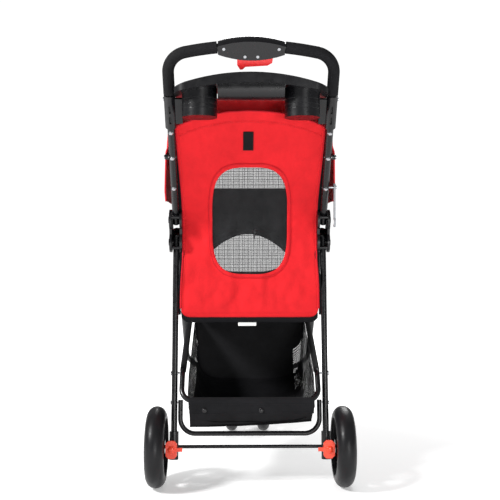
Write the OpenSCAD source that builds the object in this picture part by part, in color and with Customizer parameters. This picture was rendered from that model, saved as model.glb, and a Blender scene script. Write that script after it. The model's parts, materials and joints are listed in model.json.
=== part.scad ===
// Three-wheel folding pet stroller, seen as an assembly of its own pieces.
// +Z is up, +Y is the way it rolls, and the origin is on the floor under its middle.

/* [Whole stroller] */

// Y of the rear axle, which sets the origin under the middle of the length
rear_axle_y = -210; // [-220:0.1:-200]
// Distance of the handle tubes and the legs from the middle plane
tube_x = 172; // [170:0.5:174]
// How far the handle leans back
handle_lean = 35.8; // [33:0.1:36]

/* [Wheels] */

// Rear tyre diameter
rear_wheel_d = 180; // [170:1:184]
// Rear tyre width
rear_wheel_w = 43; // [38:0.5:44]
// Front tyre diameter
front_wheel_d = 150; // [140:1:152]
// Front tyre width
front_wheel_w = 35; // [30:0.5:36]
// Distance of each front wheel from the middle plane
front_wheel_x = 46; // [45:0.5:50]

/* [Tubes] */

// Diameter of the handle tube
handle_tube_d = 16; // [15:0.5:16.5]
// Diameter of the front and rear leg tubes
leg_tube_d = 14; // [13:0.5:15]
// Diameter of the tube that carries the basket
basket_tube_d = 12; // [10:0.5:12]
// Wall of every tube
tube_wall = 1.5; // [1:0.1:2]
// Diameter of the foam on the handle
foam_d = 24.5; // [22:0.5:28]

/* [Tray] */

// Inside radius of each cup
cup_r = 33.5; // [30:0.5:34]
// Distance of each cup from the middle plane
cup_x = 108; // [107:0.5:110]
// Width of the middle bin, outside
bin_w = 138; // [120:1:140]

/* [Cabin] */

// Outside half width of the cabin's tub
tub_x = 160; // [155:0.5:161]
// Thickness of the floor cushion
pad_t = 18; // [10:1:22]
// Width of the rear window
window_w = 170; // [140:1:180]
// Height of the rear window
window_h = 242; // [200:1:250]

/* [Hidden] */

$fn = 96;
fit = 0.05;          // running clearance, on the radius
gap = 0.3;           // clearance between pieces that only lie side by side
pin_r = 4;
lap_l = 3;           // sleeve that laps a joint inside a bent tube
lap_t = 0.15;
lap_gap = 0.4;

rear_axle_z = rear_wheel_d / 2;
rear_wheel_x = 232.5 - rear_wheel_w / 2;
front_axle_z = front_wheel_d / 2;
front_axle_y = rear_axle_y + 551;
swivel_y = rear_axle_y + 578;

handle_pivot_y = rear_axle_y + 63.5;
handle_pivot_z = 604;
leg_pivot_y = rear_axle_y + 71.5;
leg_pivot_z = 552;
leg_lean = atan2(leg_pivot_y - rear_axle_y, leg_pivot_z - rear_axle_z);
leg_l = norm([leg_pivot_y - rear_axle_y, leg_pivot_z - rear_axle_z]);

front_top_y = rear_axle_y + 92;
front_top_z = 577.5;
front_fall = 41.85;  // slope of the front legs
front_side_l = 508.7;
front_bend_r = 90;
cross_y = front_top_y + (front_side_l + front_bend_r) * cos(front_fall);
cross_z = front_top_z - (front_side_l + front_bend_r) * sin(front_fall);

handle_side_l = 369.7;
handle_bend_r = 46;
handle_bend_a = 78;  // the corner turns this far, then the crown takes over
handle_corner_x = tube_x - handle_bend_r;
crown_x = handle_corner_x + handle_bend_r * cos(handle_bend_a);
crown_r = crown_x / cos(handle_bend_a);
crown_centre = handle_side_l + handle_bend_r * sin(handle_bend_a) - crown_r * sin(handle_bend_a);
crown_top = crown_centre + crown_r;
foam_start = 322;
housing_x = 68;
housing_r = 19;
housing_half_t = 13;
housing_drop = 26.6;  // from the tube's centre to the lowest edge of the housing
housing_arc_r = 190;
housing_crown_r = 211;
housing_screw_at = [[-56, -2], [56, -2], [-13, -18.4], [13, -18.4]];
housing_screw_l = 3.2;
trigger_from = -29;
trigger_to = 45;
trigger_half_t = 7.5;

tray_y = rear_axle_y - 130;
tray_depth = 110;
tray_x = 159.9;
tray_top = 900;
cup_floor = 814;
cup_mouth = 875;
bin_back_r = 25;

bar_x = 154;         // basket tube from the middle plane
bar_front_y = rear_axle_y + 330;
bar_front_z = 364;
bar_pin_y = rear_axle_y + 24;
bar_pin_z = 252;
bar_rear_y = rear_axle_y - 20;
bar_rear_z = 197;
bar_bend_r = 30;

tub_y0 = rear_axle_y + 56;
tub_y1 = rear_axle_y + 433;
tub_z = 376;
tub_h = 79;
tub_wall = 3;
board_z = tub_z + tub_wall + gap;
board_t = 8;

panel_t = 3;
panel_foot_y = rear_axle_y + 49;
panel_knee_z = 462;
panel_pivot_y = handle_pivot_y + 10;
panel_top_z = 835;
window_z = 599;

hood_x = 196;
hood_low = 647;
hood_top = 845;
hood_corner = 70;
hood_front_y = rear_axle_y + 345;
bow_pivot_z = 741;
bow_pivot_s = (bow_pivot_z - handle_pivot_z) / cos(handle_lean);
bow_pivot_y = handle_pivot_y - (bow_pivot_z - handle_pivot_z) * tan(handle_lean);
bow_rise = 12;
bow_reach = 378;
bow_bend_r = 110;
bow_x = 185;
hook_pivot_z = 677;
hook_pivot_s = (hook_pivot_z - handle_pivot_z) / cos(handle_lean);
hook_pivot_y = handle_pivot_y - (hook_pivot_z - handle_pivot_z) * tan(handle_lean);

black = [0.07, 0.07, 0.08];
satin_black = [0.12, 0.12, 0.13];
red = [0.62, 0.06, 0.08];
silver = [0.75, 0.76, 0.78];
grey = [0.45, 0.46, 0.48];
white = [0.9, 0.9, 0.9];

// ---- shared shapes ----

// A cylinder along X, centred on x
module x_rod(r, length, x = 0) {
    translate([x, 0, 0])
        rotate([0, 90, 0])
            cylinder(r = r, h = length, center = true);
}

// A hollow straight tube along Z
module pipe(d, length) {
    difference() {
        cylinder(d = d, h = length);
        translate([0, 0, -1])
            cylinder(d = d - 2 * tube_wall, h = length + 2);
    }
}

// A ring section swept round a bend in the XZ plane, from angle a0 to a1 about the Y axis;
// solid when d_in is 0
module bend(bend_r, d_out, d_in, a0, a1) {
    rotate([0, -a0, 0])
        rotate([90, 0, 0])
            rotate_extrude(angle = a1 - a0)
                translate([bend_r, 0])
                    difference() {
                        circle(d = d_out);
                        if (d_in > 0)
                            circle(d = d_in);
                    }
}

// A thin sleeve along Z that laps the joint between two lengths of one tube
module lap(d_out, d_in)
    translate([0, 0, -lap_l / 2])
        difference() {
            cylinder(d = d_out + 2 * lap_t, h = lap_l);
            translate([0, 0, -1])
                cylinder(d = d_in - 2 * lap_t, h = lap_l + 2);
        }

// A flat piece drawn in the YZ plane and given a thickness along X
module side_plate(x0, x1) {
    translate([x0, 0, 0])
        rotate([90, 0, 90])
            linear_extrude(x1 - x0)
                children();
}

// A rectangle with round corners
module round_rect(w, h, r) {
    square([w - 2 * r, h], center = true);
    square([w, h - 2 * r], center = true);
    for (i = [-1, 1], j = [-1, 1])
        translate([i * (w / 2 - r), j * (h / 2 - r)])
            circle(r);
}

// The handle's own frame: Z runs up the tube from its pivot, -Y faces the walker
module on_handle() {
    translate([0, handle_pivot_y, handle_pivot_z])
        rotate([handle_lean, 0, 0])
            children();
}

// The rear legs' own frame: Z runs up the leg from the axle
module on_leg() {
    translate([0, rear_axle_y, rear_axle_z])
        rotate([-leg_lean, 0, 0])
            children();
}

// The front legs' own frame: Z runs down the leg from its top
module on_front_leg() {
    translate([0, front_top_y, front_top_z])
        rotate([-90 - front_fall, 0, 0])
            children();
}

// A pin along X with a domed head at its outer end
module headed_pin(s, x0, x1, r, head_r, head_t) {
    x_rod(r, x1 - x0, s * (x0 + x1) / 2);
    x_rod(head_r, head_t, s * (x1 + head_t / 2));
}

// ---- front frame ----

// Both front legs and the bow that joins them, in the legs' own frame
module front_sweep() {
    for (s = [-1, 1])
        translate([s * tube_x, 0, 0])
            pipe(leg_tube_d, front_side_l);
    translate([tube_x - front_bend_r, 0, front_side_l])
        bend(front_bend_r, leg_tube_d, leg_tube_d - 2 * tube_wall, 0, 90);
    translate([front_bend_r - tube_x, 0, front_side_l])
        bend(front_bend_r, leg_tube_d, leg_tube_d - 2 * tube_wall, 90, 180);
    translate([front_bend_r - tube_x, 0, front_side_l + front_bend_r])
        rotate([0, 90, 0])
            pipe(leg_tube_d, 2 * (tube_x - front_bend_r));
}

module front_tube() color(black) difference() {
    on_front_leg()
        front_sweep();
    translate([0, bar_front_y, bar_front_z])
        x_rod(3 + fit, 400);
}

hub_low = 158;
hub_h = 50;
hub_r = 22;
stem_r = 8;

module front_hub() color(satin_black) difference() {
    union() {
        translate([0, swivel_y, hub_low])
            cylinder(r = hub_r, h = hub_h);
        translate([0, cross_y, cross_z])
            x_rod(13, 84);
        translate([-17, cross_y, cross_z - 13])
            cube([34, swivel_y - cross_y, 26]);
    }
    translate([0, cross_y, cross_z])
        x_rod(leg_tube_d / 2 + fit, 90);
    translate([0, swivel_y, hub_low - 1])
        cylinder(r = stem_r + fit, h = hub_h + 2);
}

plate_in = 157.5;
plate_t = 5.5;
plate_out = 181.5;
lobe_r = 24;
socket_r = 12;
socket_l = 46;
stop_r = 4;

// Outline of a bracket's plates: two round lobes and the lug that holds the front leg
module bracket_outline() {
    lug_y = front_top_y + socket_l * cos(front_fall);
    lug_z = front_top_z - socket_l * sin(front_fall);
    translate([handle_pivot_y, handle_pivot_z])
        circle(lobe_r);
    translate([leg_pivot_y, leg_pivot_z])
        circle(lobe_r);
    polygon([
        [handle_pivot_y - 14, handle_pivot_z - 12],
        [leg_pivot_y - 14, leg_pivot_z + 12],
        [leg_pivot_y + 10, leg_pivot_z - 20],
        [lug_y - socket_r * sin(front_fall), lug_z - socket_r * cos(front_fall)],
        [lug_y + socket_r * sin(front_fall), lug_z + socket_r * cos(front_fall)],
        [handle_pivot_y + 20, handle_pivot_z + 12],
    ]);
}

module bracket(s) difference() {
    union() {
        for (x0 = [plate_in, plate_out])
            side_plate(s > 0 ? x0 : -x0 - plate_t, s > 0 ? x0 + plate_t : -x0)
                bracket_outline();
        on_front_leg()
            translate([s * tube_x, 0, 0])
                cylinder(r = socket_r, h = socket_l);
        for (stop = [[handle_pivot_y, handle_pivot_z, 20, 90 + handle_lean + 38],
                     [leg_pivot_y, leg_pivot_z, 18.7, 270 - leg_lean - 38]])
            translate([0, stop[0] + stop[2] * cos(stop[3]), stop[1] + stop[2] * sin(stop[3])])
                x_rod(stop_r, plate_out - plate_in, s * (plate_in + plate_out + plate_t) / 2);
    }
    translate([0, handle_pivot_y, handle_pivot_z])
        x_rod(pin_r + fit, 60, s * tube_x);
    translate([0, leg_pivot_y, leg_pivot_z])
        x_rod(pin_r + fit, 60, s * tube_x);
    on_front_leg()
        translate([s * tube_x, 0, -1])
            cylinder(r = leg_tube_d / 2 + fit, h = socket_l + 2);
}

module bracket_left() color(satin_black) bracket(-1);
module bracket_right() color(satin_black) bracket(1);

module pivot_pins() color(satin_black) {
    for (s = [-1, 1], at = [[handle_pivot_y, handle_pivot_z], [leg_pivot_y, leg_pivot_z]])
        translate([0, at[0], at[1]])
            headed_pin(s, plate_in, plate_out + plate_t, pin_r, 8, 2.5);
}

// ---- cabin ----

module cabin_tub() color(black) {
    length = tub_y1 - tub_y0;
    mid_y = (tub_y0 + tub_y1) / 2;
    difference() {
        translate([0, mid_y, tub_z])
            linear_extrude(tub_h)
                round_rect(2 * tub_x, length, 30);
        translate([0, mid_y, tub_z + tub_wall])
            linear_extrude(tub_h)
                round_rect(2 * (tub_x - tub_wall), length - 2 * tub_wall, 27);
    }
}

module floor_board() color(grey)
    translate([0, (tub_y0 + tub_y1) / 2, board_z])
        linear_extrude(board_t)
            round_rect(2 * (tub_x - tub_wall - 3), tub_y1 - tub_y0 - 2 * tub_wall - 6, 24);

module floor_pad() color(black)
    translate([0, (tub_y0 + tub_y1) / 2, board_z + board_t + gap])
        linear_extrude(pad_t)
            round_rect(2 * (tub_x - tub_wall - 5), tub_y1 - tub_y0 - 2 * tub_wall - 10, 22);

panel_x = 154;
panel_low = tub_z + tub_h + 1;

// Side of the cabin above the tub, up under the hood
module side_panel(s) {
    side_plate(s > 0 ? panel_x : -panel_x - 2, s > 0 ? panel_x + 2 : -panel_x)
        polygon([
            [panel_foot_y + 9, panel_low],
            [tub_y1 - 2, panel_low],
            [hood_front_y - 18, 720],
            [panel_pivot_y + 6 - (720 - handle_pivot_z) * tan(handle_lean), 720],
            [panel_pivot_y + 6, handle_pivot_z],
            [panel_foot_y + 9, panel_knee_z],
        ]);
}

module side_panel_left() color(black) side_panel(-1);
module side_panel_right() color(black) side_panel(1);

module front_panel() color(black)
    side_plate(-150, 150)
        polygon([
            [tub_y1 - 1, panel_low],
            [tub_y1 + 1, panel_low],
            [hood_front_y - 14, hood_top - 30],
            [hood_front_y - 16, hood_top - 30],
        ]);

// Side view of the rear panel: up past the tub, forward to the pivots, then back
// along the handle
module panel_profile(shift, thick) {
    top_y = panel_pivot_y - (panel_top_z - handle_pivot_z) * tan(handle_lean);
    rear_line = [
        [panel_foot_y, tub_z],
        [panel_foot_y + 1, panel_knee_z],
        [panel_pivot_y, handle_pivot_z],
        [top_y, panel_top_z],
    ];
    polygon([
        for (i = [0:3])
            rear_line[i] + [shift, 0],
        for (i = [3:-1:0])
            rear_line[i] + [shift + thick, 0],
    ]);
}

// Rear view of the rear panel, with its arched top edge
module panel_outline() {
    side_top = 805;
    top_x = 159;
    arch = panel_top_z - side_top;
    polygon([
        [-top_x, side_top],
        [-156, 640],
        [-156, 520],
        [-tub_x, 420],
        [-tub_x, tub_z + 18],
        [-tub_x + 18, tub_z],
        [tub_x - 18, tub_z],
        [tub_x, tub_z + 18],
        [tub_x, 420],
        [156, 520],
        [156, 640],
        [top_x, side_top],
        for (i = [1:15])
            [top_x * cos(i * 180 / 16), side_top + arch * sin(i * 180 / 16)],
    ]);
}

// A standing outline given a depth along Y that reaches past the whole panel
module through_panel()
    translate([0, rear_axle_y + 200, 0])
        rotate([90, 0, 0])
            linear_extrude(500)
                children();

module rear_panel() color(red) difference() {
    intersection() {
        side_plate(-170, 170)
            panel_profile(0, panel_t);
        through_panel()
            panel_outline();
    }
    through_panel()
        translate([0, window_z])
            round_rect(window_w, window_h, 62);
}

module rear_window() color(satin_black) intersection() {
    side_plate(-170, 170)
        panel_profile(1, 1);
    through_panel()
        translate([0, window_z])
            round_rect(window_w - 2 * gap, window_h - 2 * gap, 61.7);
}

module panel_patch() color(black)
    on_handle()
        translate([-16, 5.9, 183])
            cube([23, 2, 46]);

module blank_label() color(white)
    translate([-27, panel_foot_y + 1, tub_z - 18])
        cube([42, 0.8, 17.5]);

// ---- basket ----

bar_slope = atan2(bar_front_z - bar_pin_z, bar_front_y - bar_pin_y);
bar_drop_a = atan2(bar_pin_z - bar_rear_z, bar_pin_y - bar_rear_y);
bar_knee_r = 40;
bar_turn = bar_drop_a - bar_slope;
knee_l = bar_knee_r * tan(bar_turn / 2);

// The right half of the basket tube: down the side, over the knee, and half way across
module basket_bar_half() {
    side_l = norm([bar_front_y - bar_pin_y, bar_front_z - bar_pin_z]);
    drop_l = norm([bar_pin_y - bar_rear_y, bar_pin_z - bar_rear_z]);
    inner = basket_tube_d - 2 * tube_wall;
    translate([bar_x, bar_pin_y, bar_pin_z])
        rotate([bar_slope, 0, 0])
            translate([0, knee_l, -bar_knee_r]) {
                translate([0, 0, bar_knee_r])
                    rotate([-90, 0, 0])
                        pipe(basket_tube_d, side_l - knee_l + 12);
                rotate([90, 0, 90])
                    rotate([0, 0, 90])
                        rotate_extrude(angle = bar_turn)
                            translate([bar_knee_r, 0])
                                difference() {
                                    circle(d = basket_tube_d);
                                    circle(d = inner);
                                }
                rotate([bar_turn, 0, 0])
                    translate([0, 0, bar_knee_r])
                        rotate([90, 0, 0])
                            pipe(basket_tube_d, drop_l - knee_l - bar_bend_r);
                rotate([bar_turn, 0, 0])
                    translate([-bar_bend_r, bar_bend_r + knee_l - drop_l, bar_knee_r])
                        rotate([90, 0, 0]) {
                            bend(bar_bend_r, basket_tube_d, inner, 0, 90);
                            translate([bar_bend_r - bar_x, 0, bar_bend_r])
                                rotate([0, 90, 0])
                                    pipe(basket_tube_d, bar_x - bar_bend_r);
                        }
            }
}

module basket_bar() color(black) difference() {
    for (flip = [0, 1])
        mirror([flip, 0, 0])
            basket_bar_half();
    translate([0, bar_front_y, bar_front_z])
        x_rod(3 + fit, 400);
}

// Bolts that hold the basket tube to the front legs, through both
module basket_bolts() color(silver)
    translate([0, bar_front_y, bar_front_z])
        for (s = [-1, 1])
            headed_pin(s, bar_x - basket_tube_d / 2, tube_x + leg_tube_d / 2 + gap, 3, 5.5, 3);

basket_x = 146;
basket_t = 2;

// Side view of the basket, shrunk by t on every side but its open top
module basket_profile(t) {
    polygon([
        [rear_axle_y - 1 + t, 212 + t],
        [rear_axle_y - 1 + t, 141 + t],
        [rear_axle_y + 120, 141 + t],
        [rear_axle_y + 220 - t, 158 + t],
        [rear_axle_y + 296 - t, 192 + t],
        [rear_axle_y + 334 - t, 357 + t],
        [rear_axle_y + 26, 248 + t],
    ]);
}

module basket() color(black) difference() {
    side_plate(-basket_x, basket_x)
        basket_profile(0);
    side_plate(-basket_x + basket_t, basket_x - basket_t)
        basket_profile(basket_t);
}

// ---- handle ----

// The right half of the handle as a round section of any size, from a height on its side
// tube to an angle on its crown
module handle_half(d_out, d_in, side_from, crown_to) {
    step = lap_gap / handle_bend_r * 90 / PI;
    small_step = lap_gap / crown_r * 90 / PI;
    translate([tube_x, 0, side_from])
        difference() {
            cylinder(d = d_out, h = handle_side_l - side_from);
            translate([0, 0, -1])
                cylinder(d = d_in, h = handle_side_l - side_from + 2);
        }
    translate([handle_corner_x, 0, handle_side_l])
        bend(handle_bend_r, d_out, d_in, 0, handle_bend_a - step);
    translate([crown_x, 0, crown_centre + crown_r * sin(handle_bend_a)])
        rotate([0, -handle_bend_a, 0])
            lap(d_out, d_in);
    translate([0, 0, crown_centre])
        bend(crown_r, d_out, d_in, handle_bend_a + small_step, crown_to);
}

middle_step = lap_gap / crown_r * 90 / PI;
rivet_s = [232, bow_pivot_s, hook_pivot_s];

module handle_tube() color(black) on_handle() difference() {
    union() {
        for (flip = [0, 1])
            mirror([flip, 0, 0])
                handle_half(handle_tube_d, handle_tube_d - 2 * tube_wall, -10, 90 - middle_step);
        translate([0, 0, crown_top])
            rotate([0, 90, 0])
                lap(handle_tube_d, handle_tube_d - 2 * tube_wall);
    }
    x_rod(pin_r + fit, 400);
    for (s = [-1, 1], z = rivet_s)
        translate([s * tube_x, 0, z])
            rotate([90, 0, 0])
                cylinder(r = 2 + fit, h = 10);
    for (z = [bow_pivot_s, hook_pivot_s])
        translate([0, 0, z])
            x_rod(2.5 + fit, 400);
}

module foam_grip() color(satin_black) on_handle()
    handle_half(foam_d, handle_tube_d + 4 * gap, foam_start, acos((housing_x + 2) / crown_r));

module foam_grip_left() mirror([1, 0, 0]) foam_grip();
module foam_grip_right() foam_grip();

// Rear view of the housing below its barrel: a half moon
module half_moon() intersection() {
    translate([0, crown_top - housing_drop + housing_arc_r])
        circle(housing_arc_r, $fn = 360);
    translate([2 - housing_x, crown_top - housing_drop - 5])
        square([2 * housing_x - 4, housing_drop + 5]);
}

// The housing as one solid: a curved barrel over the tube with the half moon under it
module housing_body() intersection() {
    union() {
        translate([0, 0, crown_top - housing_crown_r])
            bend(housing_crown_r, 2 * housing_r, 0, 66, 114);
        translate([0, 20, 0])
            rotate([90, 0, 0])
                linear_extrude(40)
                    half_moon();
    }
    translate([0, 30, crown_top - housing_drop + housing_arc_r])
        rotate([90, 0, 0])
            cylinder(r = housing_arc_r + 0.2, h = 60, $fn = 360);
}

// Half of the trigger housing: side -1 faces the walker, side 1 faces forward
module housing_half(side) on_handle() difference() {
    intersection() {
        housing_body();
        translate([-housing_x, side < 0 ? -housing_half_t : gap / 2, crown_top - 60])
            cube([2 * housing_x, housing_half_t - gap / 2, 120]);
    }
    translate([0, 0, crown_centre])
        bend(crown_r, handle_tube_d + 4 * gap, 0, handle_bend_a + 3, 177 - handle_bend_a);
    translate([trigger_from - 1, -trigger_half_t - 0.5, crown_top - 40])
        cube([trigger_to - trigger_from + 2, 2 * trigger_half_t + 1, 32]);
    for (at = housing_screw_at)
        translate([at[0], -housing_half_t - 1, crown_top + at[1]])
            rotate([-90, 0, 0])
                cylinder(r = 1.5 + fit, h = housing_screw_l + 1.3);
}

module housing_rear() color(satin_black) housing_half(-1);
module housing_front() color(satin_black) housing_half(1);

module housing_screws() color(silver) on_handle()
    for (at = housing_screw_at)
        translate([at[0], -housing_half_t - 1.4, crown_top + at[1]])
            rotate([-90, 0, 0]) {
                cylinder(r = 3, h = 1.4);
                cylinder(r = 1.5, h = 1.4 + housing_screw_l);
            }

// Squeeze trigger, with a finger tip at its left end
module fold_trigger() color(red) on_handle()
    translate([0, trigger_half_t, crown_top])
        rotate([90, 0, 0])
            linear_extrude(2 * trigger_half_t)
                polygon([
                    [trigger_from, -16],
                    [trigger_from, -39],
                    [-23, -49],
                    [-18, -49],
                    [-12, -43],
                    [33, -40],
                    [trigger_to - 2, -34],
                    [trigger_to, -16],
                ]);

// ---- parent tray ----

tray_arch_r = 451;
tray_under_r = 675;

// Rear view of the arched deck
module deck_arch() intersection() {
    translate([0, tray_top - tray_arch_r])
        circle(tray_arch_r, $fn = 720);
    difference() {
        translate([-tray_x - 5, 850])
            square([2 * tray_x + 10, 60]);
        translate([0, tray_top - 22 - tray_under_r])
            circle(tray_under_r, $fn = 720);
    }
}

// Side view of the bin, shrunk by t: a round back, then a floor that rises forward
module bin_profile(t, top) {
    translate([tray_y - 23, 872])
        circle(bin_back_r - t);
    polygon([
        [tray_y - 48 + t, top],
        [tray_y - 48 + t, 872],
        [tray_y - 23, 850 + t],
        [tray_y + 49 - t, 862 + t],
        [tray_y + 49 - t, top],
    ]);
}

module parent_tray() color(satin_black) difference() {
    union() {
        intersection() {
            translate([0, tray_y + tray_depth / 2, 0])
                rotate([90, 0, 0])
                    linear_extrude(tray_depth)
                        deck_arch();
            translate([0, tray_y, 800])
                linear_extrude(150)
                    round_rect(2 * tray_x, tray_depth, 28);
        }
        for (s = [-1, 1])
            translate([s * cup_x, tray_y, cup_floor])
                cylinder(r = cup_r + 3.5, h = cup_mouth - cup_floor);
        side_plate(-bin_w / 2, bin_w / 2)
            bin_profile(0, 885);
    }
    for (s = [-1, 1]) {
        translate([s * cup_x, tray_y, cup_floor + 3])
            cylinder(r = cup_r, h = 100);
        translate([s * cup_x, tray_y, cup_mouth])
            cylinder(r = cup_r + 5.5, h = 50);
        for (z = [831, 840, 851])
            translate([s * cup_x, tray_y, z])
                rotate_extrude()
                    translate([cup_r + 3.5, 0])
                        circle(0.9, $fn = 16);
    }
    side_plate(3 - bin_w / 2, bin_w / 2 - 3)
        bin_profile(3, 960);
}

tray_bracket_s = [243, 319];
flange_s = [253, 311];
flange_x = [146, 165];

// A clamp round the handle tube, with a flange under the tray's deck
module tray_bracket(s) color(satin_black) on_handle() difference() {
    union() {
        translate([s * tube_x, 0, tray_bracket_s[0]])
            cylinder(r = 12, h = tray_bracket_s[1] - tray_bracket_s[0]);
        translate([s > 0 ? flange_x[0] : -flange_x[1], -4, flange_s[0]])
            cube([flange_x[1] - flange_x[0], 8, flange_s[1] - flange_s[0]]);
    }
    translate([s * tube_x, 0, 0])
        cylinder(r = handle_tube_d / 2 + fit, h = 400);
    for (z = [256, 281])
        translate([s * tube_x - 2, -14, z])
            cube([4, 7, 17]);
    translate([0, 0, 310])
        x_rod(2 + fit, 400);
}

module tray_bracket_left() tray_bracket(-1);
module tray_bracket_right() tray_bracket(1);

// Screws whose heads sit on the outside of the tray brackets
module tray_screws() color(silver) on_handle()
    for (s = [-1, 1])
        translate([0, 0, 310])
            headed_pin(s, tube_x + handle_tube_d / 2 + gap, tube_x + 12, 2, 4, 1.8);

module frame_rivets() color(silver) on_handle()
    for (s = [-1, 1], z = rivet_s)
        translate([s * tube_x, 0, z])
            rotate([90, 0, 0]) {
                translate([0, 0, 6.6])
                    cylinder(r = 2, h = 2);
                translate([0, 0, 8.1])
                    cylinder(r1 = 5, r2 = 3, h = 2.2);
            }

// ---- hood ----

// Rear view of the hood: straight sides, round shoulders, flat top
module hood_outline(t) {
    r = hood_corner - t;
    translate([-hood_x + t, hood_low])
        square([2 * (hood_x - t), hood_top - hood_corner - hood_low]);
    translate([-hood_x + hood_corner, hood_low])
        square([2 * (hood_x - hood_corner), hood_top - t - hood_low]);
    for (s = [-1, 1])
        translate([s * (hood_x - hood_corner), hood_top - hood_corner])
            circle(r);
}

module canopy() color(red) intersection() {
    translate([0, hood_front_y, 0])
        rotate([90, 0, 0])
            linear_extrude(500)
                difference() {
                    hood_outline(0);
                    translate([0, -0.01])
                        hood_outline(3);
                }
    side_plate(-200, 200)
        polygon([
            [handle_pivot_y + 16 - (hood_low - handle_pivot_z) * tan(handle_lean), hood_low],
            [hood_front_y - 100, hood_low],
            [hood_front_y, 720],
            [hood_front_y, hood_top],
            [rear_axle_y - 80, hood_top],
            [rear_axle_y - 80, handle_pivot_z + (159.5) / tan(handle_lean)],
        ]);
}

module bow_pins() color(silver) on_handle() {
    for (s = [-1, 1])
        translate([0, 0, bow_pivot_s])
            headed_pin(s, tube_x - handle_tube_d / 2, bow_x + 4, 2.5, 4.5, 2);
    translate([0, 0, hook_pivot_s])
        headed_pin(1, tube_x - handle_tube_d / 2, 195, 2.5, 4.5, 2);
}

module hood_bow() color(satin_black)
    translate([0, bow_pivot_y, bow_pivot_z])
        rotate([bow_rise - 90, 0, 0]) {
            side_l = bow_reach - bow_bend_r;
            for (s = [-1, 1])
                difference() {
                    union() {
                        x_rod(6, 7, s * bow_x);
                        translate([s * bow_x, 0, 0])
                            cylinder(r = 3, h = side_l);
                    }
                    x_rod(2.5 + fit, 20, s * bow_x);
                }
            translate([bow_x - bow_bend_r, 0, side_l])
                bend(bow_bend_r, 6, 0, 0, 90);
            translate([bow_bend_r - bow_x, 0, side_l])
                bend(bow_bend_r, 6, 0, 90, 180);
            translate([0, 0, bow_reach])
                x_rod(3, 2 * (bow_x - bow_bend_r));
        }

// Hook that keeps the folded stroller shut; it hangs from the right handle tube
module storage_hook() color(grey)
    translate([0, hook_pivot_y, hook_pivot_z])
        side_plate(190.5, 194.5)
            difference() {
                union() {
                    circle(9);
                    translate([-5, -78])
                        square([10, 78]);
                    translate([0, -80])
                        circle(11);
                }
                circle(2.5 + fit);
                translate([1, -79])
                    circle(6);
                translate([1, -85])
                    square([20, 12]);
            }

// ---- rear legs ----

module rear_leg(s) color(black) on_leg() difference() {
    translate([s * tube_x, 0, 12])
        pipe(leg_tube_d, leg_l);
    translate([0, 0, leg_l])
        x_rod(pin_r + fit, 400);
    translate([0, 0, (bar_pin_z - rear_axle_z) / cos(leg_lean)])
        x_rod(3 + fit, 400);
    translate([0, 0, 98])
        x_rod(2 + fit, 400);
}

module rear_leg_left() rear_leg(-1);
module rear_leg_right() rear_leg(1);

brake_y = rear_axle_y - 20;
brake_z = 92;

module rear_socket(s) color(satin_black) difference() {
    union() {
        on_leg()
            translate([s * tube_x, 0, -28])
                cylinder(r = 10.5, h = 62);
        translate([s * tube_x - 3.8, brake_y, brake_z - 7])
            cube([7.6, 20, 14]);
        translate([0, brake_y, brake_z])
            x_rod(7, 7.6, s * tube_x);
    }
    on_leg() {
        translate([s * tube_x, 0, 11.9])
            cylinder(r = leg_tube_d / 2 + fit, h = 60);
        x_rod(pin_r + fit, 500);
    }
    translate([0, brake_y, brake_z])
        x_rod(2.5 + fit, 500);
}

module rear_socket_left() rear_socket(-1);
module rear_socket_right() rear_socket(1);

brace_d = 11;
brace_x = 158;
brace_r = 34;

module rear_brace() color(black) on_leg() {
    low = 29;
    high = 104;
    inner = brace_d - 2 * tube_wall;
    for (s = [-1, 1])
        difference() {
            translate([s * brace_x, 0, low + brace_r])
                pipe(brace_d, high - low - brace_r);
            translate([0, 0, 98])
                x_rod(2 + fit, 400);
        }
    translate([brace_x - brace_r, 0, low + brace_r])
        bend(brace_r, brace_d, inner, 270, 360);
    translate([brace_r - brace_x, 0, low + brace_r])
        bend(brace_r, brace_d, inner, 180, 270);
    translate([brace_r - brace_x, 0, low])
        rotate([0, 90, 0])
            pipe(brace_d, 2 * (brace_x - brace_r));
}

module brace_rivets() color(silver) on_leg()
    for (s = [-1, 1])
        translate([0, 0, 98])
            headed_pin(s, brace_x - brace_d / 2, tube_x + leg_tube_d / 2 + gap, 2, 4, 1.6);

module rear_axle() color(silver)
    translate([0, rear_axle_y, rear_axle_z])
        x_rod(pin_r, 456);

module basket_stubs() color(silver)
    translate([0, bar_pin_y + 1.1, bar_pin_z])
        for (s = [-1, 1])
            headed_pin(s, bar_x + basket_tube_d / 2 + gap, tube_x + leg_tube_d / 2 + gap, 3, 5, 2);

module brake_pedal(s) color(red) difference() {
    union() {
        translate([s * (tube_x + 2.5), rear_axle_y - 40, 94])
            rotate([90, 0, 0])
                linear_extrude(5)
                    intersection() {
                        square([25, 40], center = true);
                        rotate(45)
                            square([37, 37], center = true);
                    }
        translate([s * 156.5 - 6.5, rear_axle_y - 45, 90])
            cube([13, 4, 8]);
        for (dx = [-7, 7])
            translate([s * tube_x + dx - 2, rear_axle_y - 41, brake_z - 5])
                cube([4, 21, 10]);
        for (dx = [-7, 7])
            translate([0, brake_y, brake_z])
                x_rod(5, 4, s * tube_x + dx);
    }
    translate([0, brake_y, brake_z])
        x_rod(2.5 + fit, 500);
}

module brake_pedal_left() brake_pedal(-1);
module brake_pedal_right() brake_pedal(1);

module brake_pins() color(silver)
    translate([0, brake_y, brake_z])
        for (s = [-1, 1])
            x_rod(2.5, 19, s * tube_x);

// ---- wheels ----

// A fat round tyre about X; seat is the radius of the rim it sits on
module tyre(x, y, z, d, w, seat) color(black)
    translate([x, y, z])
        rotate([0, 90, 0])
            rotate_extrude()
                difference() {
                    translate([d / 2 - w / 2, 0])
                        circle(w / 2);
                    translate([0, -w])
                        square([seat, 2 * w]);
                }

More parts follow.
